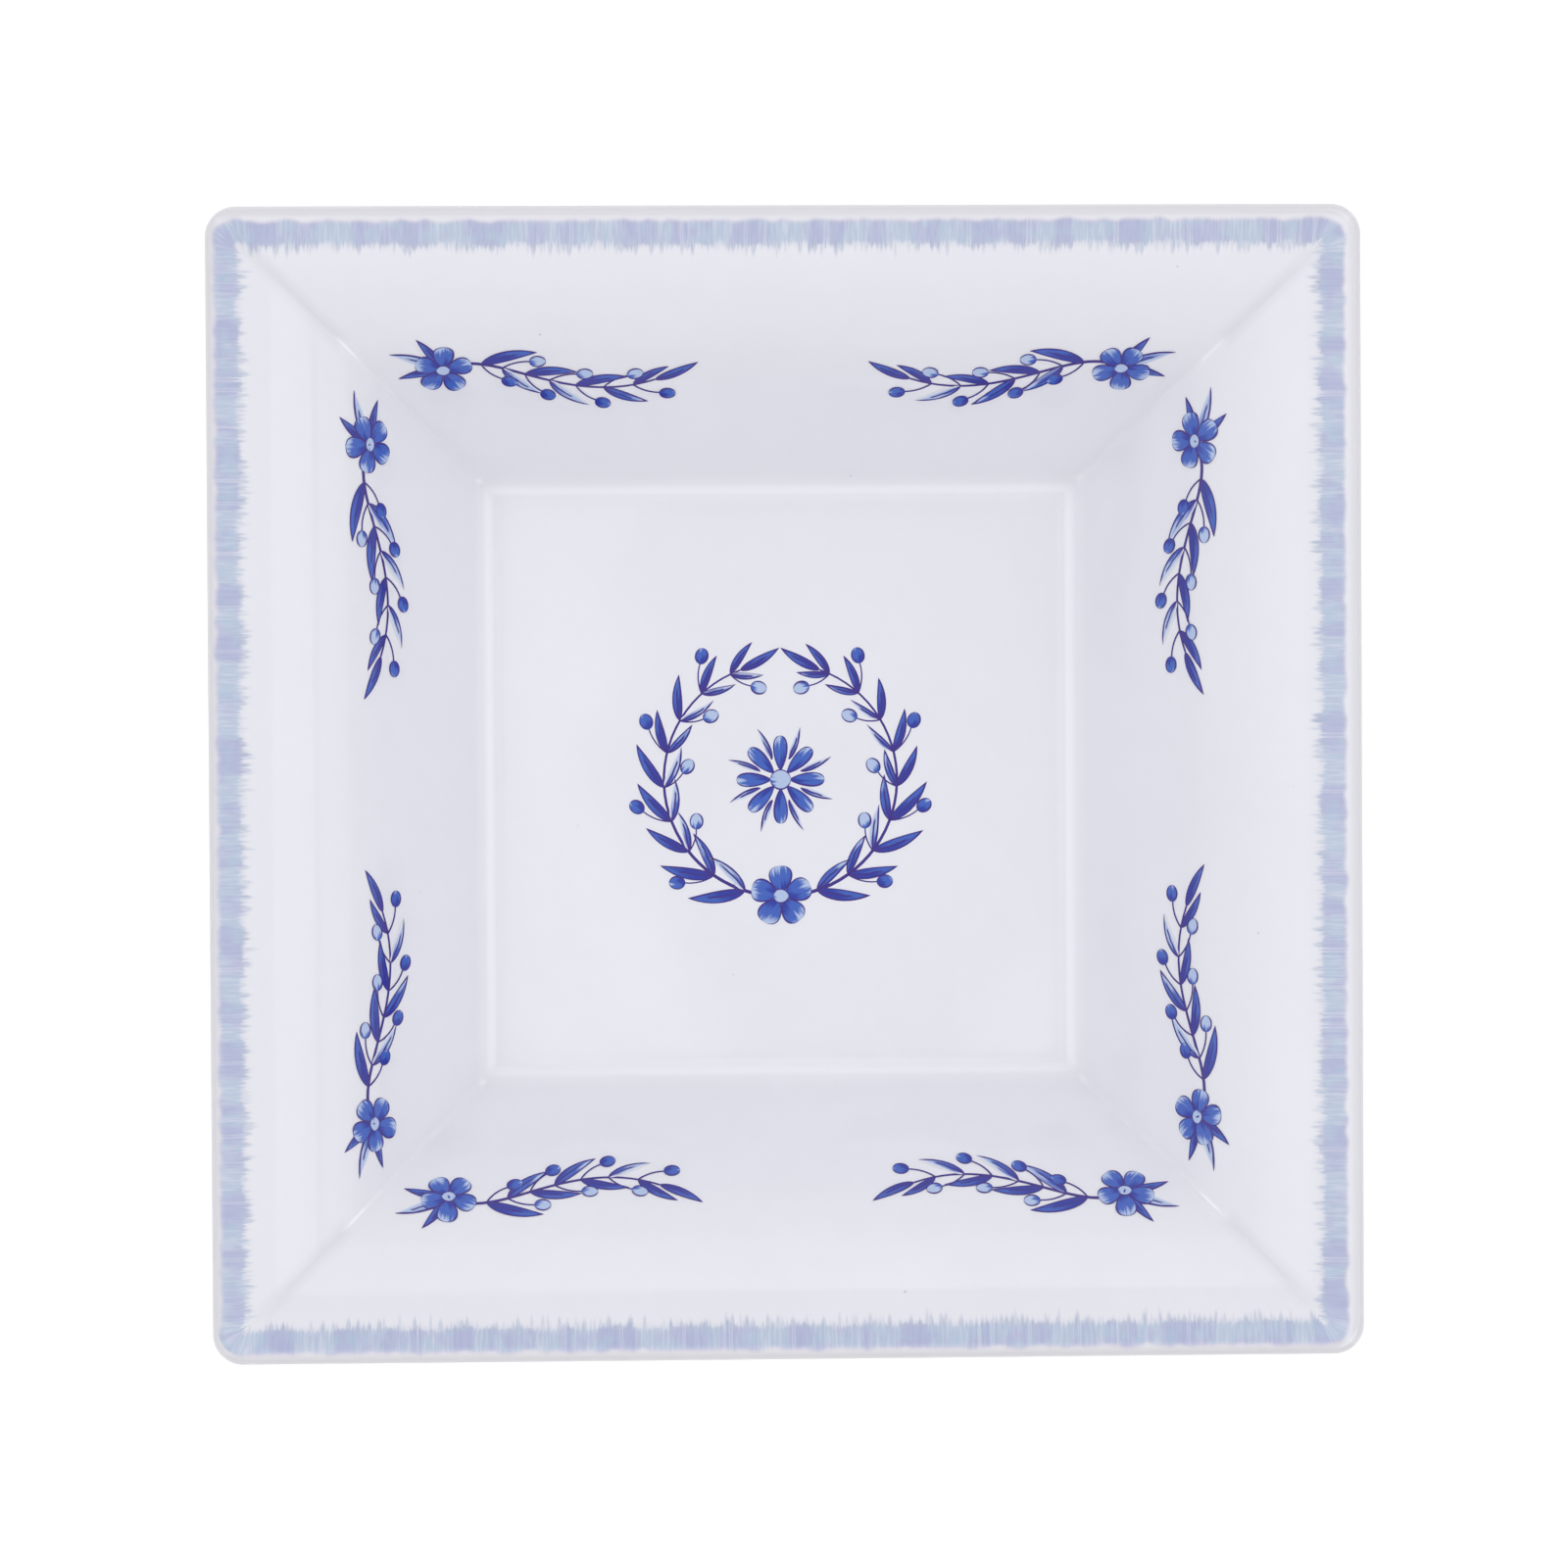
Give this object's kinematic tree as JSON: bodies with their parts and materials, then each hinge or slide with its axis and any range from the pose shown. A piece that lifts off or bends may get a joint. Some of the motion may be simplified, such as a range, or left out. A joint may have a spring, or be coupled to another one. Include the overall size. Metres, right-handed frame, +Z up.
{
  "type": "deep square dish",
  "caption": "Deep square serving dish of white glazed earthenware with a flared rim, sloping mitred walls, a flat square well, a foot ring and a blue feathered edge.",
  "frame": {"origin": "centre of the square that the foot ring's standing face goes round, on the table", "axes": "+Z up out of the well, +X and +Y square to the sides; the picture's top edge is the +Y side"},
  "size_m": [0.26, 0.26, 0.0513],
  "materials": {
    "clay": "bare fired clay, matt",
    "glaze": "glossy white glaze"
  },
  "bodies": {
    "root": {"dish_body": "clay", "glaze_coat": "glaze", "base_glaze": "glaze"}
  },
  "joints": []
}
